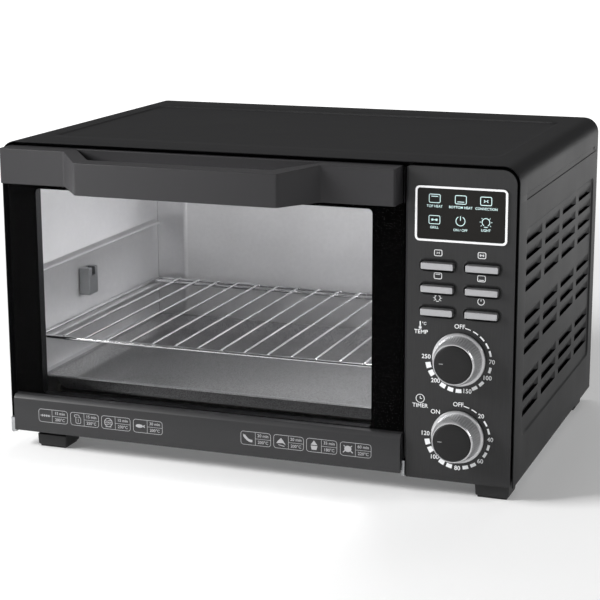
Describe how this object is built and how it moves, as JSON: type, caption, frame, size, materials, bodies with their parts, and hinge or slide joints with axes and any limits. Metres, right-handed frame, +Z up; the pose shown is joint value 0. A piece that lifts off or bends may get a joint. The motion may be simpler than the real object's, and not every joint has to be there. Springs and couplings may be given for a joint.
{
  "type": "toaster oven",
  "caption": "Black countertop toaster oven with a drop-down glass door, pull handle, wire rack, tray and a side panel of push keys and two dials.",
  "frame": {"origin": "on the table, under the middle of the oven's overall box", "axes": "+X to the right seen from the front, +Y to the back, +Z up"},
  "size_m": [0.5, 0.412, 0.3],
  "materials": {
    "powder_coat": "satin black powder coat",
    "zinc_steel": "zinc plated",
    "lining": "aluminised steel",
    "heater_sheath": "dark oxidised",
    "black_plastic": "matte",
    "glass": "clear",
    "grey_trim": "smooth dark grey",
    "handle_plastic": "fine texture",
    "fascia": "brushed black film on plastic",
    "satin_silver": "silver coated",
    "smoked": "smoked, glossy",
    "cap_black": "satin black",
    "chrome_wire": "bright",
    "enamel": "grey enamel",
    "board": "circuit board",
    "ceramic": "white ceramic"
  },
  "bodies": {
    "oven": {"outer_shell": "powder_coat", "rear_panel": "powder_coat", "bottom_panel": "zinc_steel", "front_frame": "zinc_steel", "fan_motor": "zinc_steel", "spit_motor": "zinc_steel", "spit_rest": "zinc_steel", "left_hinge_bracket": "zinc_steel", "right_hinge_bracket": "zinc_steel", "left_door_spring": "zinc_steel", "right_door_spring": "zinc_steel", "thermostat": "zinc_steel", "timer_switch": "zinc_steel", "cavity_left_wall": "lining", "cavity_right_wall": "lining", "cavity_floor": "lining", "cavity_ceiling": "lining", "cavity_back_wall": "lining", "fan_cover": "lining", "lower_front_heater": "heater_sheath", "lower_rear_heater": "heater_sheath", "upper_front_heater": "heater_sheath", "upper_rear_heater": "heater_sheath", "left_front_foot": "black_plastic", "right_front_foot": "black_plastic", "left_rear_foot": "black_plastic", "right_rear_foot": "black_plastic", "cord_gland": "black_plastic", "lamp_glass": "glass", "lamp_bulb": "glass", "lamp_holder": "ceramic", "control_panel": "fascia", "display_bezel": "satin_silver", "display_window": "smoked", "circuit_board": "board"},
    "door": {"door_glass": "glass", "door_handle": "handle_plastic", "door_lower_trim": "grey_trim", "door_inner_frame": "zinc_steel", "left_door_arm": "zinc_steel", "right_door_arm": "zinc_steel", "left_hinge_pin": "zinc_steel", "right_hinge_pin": "zinc_steel"},
    "rack": {"wire_rack": "chrome_wire"},
    "tray": {"baking_tray": "enamel"},
    "temperature_knob": {"temperature_knob_skirt": "satin_silver", "temperature_knob_cap": "cap_black", "temperature_shaft": "zinc_steel"},
    "timer_knob": {"timer_knob_skirt": "satin_silver", "timer_knob_cap": "cap_black", "timer_shaft": "zinc_steel"},
    "fan": {"convection_fan": "lining"},
    "spit_drive": {"spit_socket": "zinc_steel"},
    "convection_button": {"convection_button": "satin_silver"},
    "rotisserie_button": {"rotisserie_button": "satin_silver"},
    "top_heat_button": {"top_heat_button": "satin_silver"},
    "bottom_heat_button": {"bottom_heat_button": "satin_silver"},
    "light_button": {"light_button": "satin_silver"},
    "power_button": {"power_button": "satin_silver"}
  },
  "joints": [
    {"name": "door_hinge", "type": "hinge", "parent": "oven", "child": "door", "pos_m": [-0.04865, -0.15, 0.0225], "axis": [1, 0, 0], "range_deg": [0, 78], "stiffness_Nm_per_rad": 1.1, "springref_deg": -20.05},
    {"name": "rack_slide", "type": "slide", "parent": "oven", "child": "rack", "axis": [0, -1, 0], "range_m": [0, 0.1362]},
    {"name": "tray_slide", "type": "slide", "parent": "oven", "child": "tray", "axis": [0, -1, 0], "range_m": [0, 0.0613]},
    {"name": "temperature_turn", "type": "hinge", "parent": "oven", "child": "temperature_knob", "pos_m": [0.1996, -0.1523, 0.1276], "axis": [0, 1, 0], "range_deg": [-270, 0]},
    {"name": "timer_turn", "type": "hinge", "parent": "oven", "child": "timer_knob", "pos_m": [0.1996, -0.1523, 0.0569], "axis": [0, 1, 0], "range_deg": [-315, 0]},
    {"name": "convection_press", "type": "slide", "parent": "oven", "child": "convection_button", "axis": [0, 1, 0], "range_m": [0, 0.0025], "stiffness_N_per_m": 300, "springref_m": -0.002},
    {"name": "rotisserie_press", "type": "slide", "parent": "oven", "child": "rotisserie_button", "axis": [0, 1, 0], "range_m": [0, 0.0025], "stiffness_N_per_m": 300, "springref_m": -0.002},
    {"name": "top_heat_press", "type": "slide", "parent": "oven", "child": "top_heat_button", "axis": [0, 1, 0], "range_m": [0, 0.0025], "stiffness_N_per_m": 300, "springref_m": -0.002},
    {"name": "bottom_heat_press", "type": "slide", "parent": "oven", "child": "bottom_heat_button", "axis": [0, 1, 0], "range_m": [0, 0.0025], "stiffness_N_per_m": 300, "springref_m": -0.002},
    {"name": "light_press", "type": "slide", "parent": "oven", "child": "light_button", "axis": [0, 1, 0], "range_m": [0, 0.0025], "stiffness_N_per_m": 300, "springref_m": -0.002},
    {"name": "power_press", "type": "slide", "parent": "oven", "child": "power_button", "axis": [0, 1, 0], "range_m": [0, 0.0025], "stiffness_N_per_m": 300, "springref_m": -0.002},
    {"name": "fan_spin", "type": "hinge", "parent": "oven", "child": "fan", "pos_m": [0.134, 0.075, 0.1785], "axis": [1, 0, 0], "continuous": true},
    {"name": "spit_spin", "type": "hinge", "parent": "oven", "child": "spit_drive", "pos_m": [0.134, -0.015, 0.1485], "axis": [1, 0, 0], "continuous": true}
  ],
  "couplings": [
    {"joint": "rack_slide", "follows": "door_hinge", "m_per_rad": 0.1},
    {"joint": "tray_slide", "follows": "door_hinge", "m_per_rad": 0.045}
  ]
}
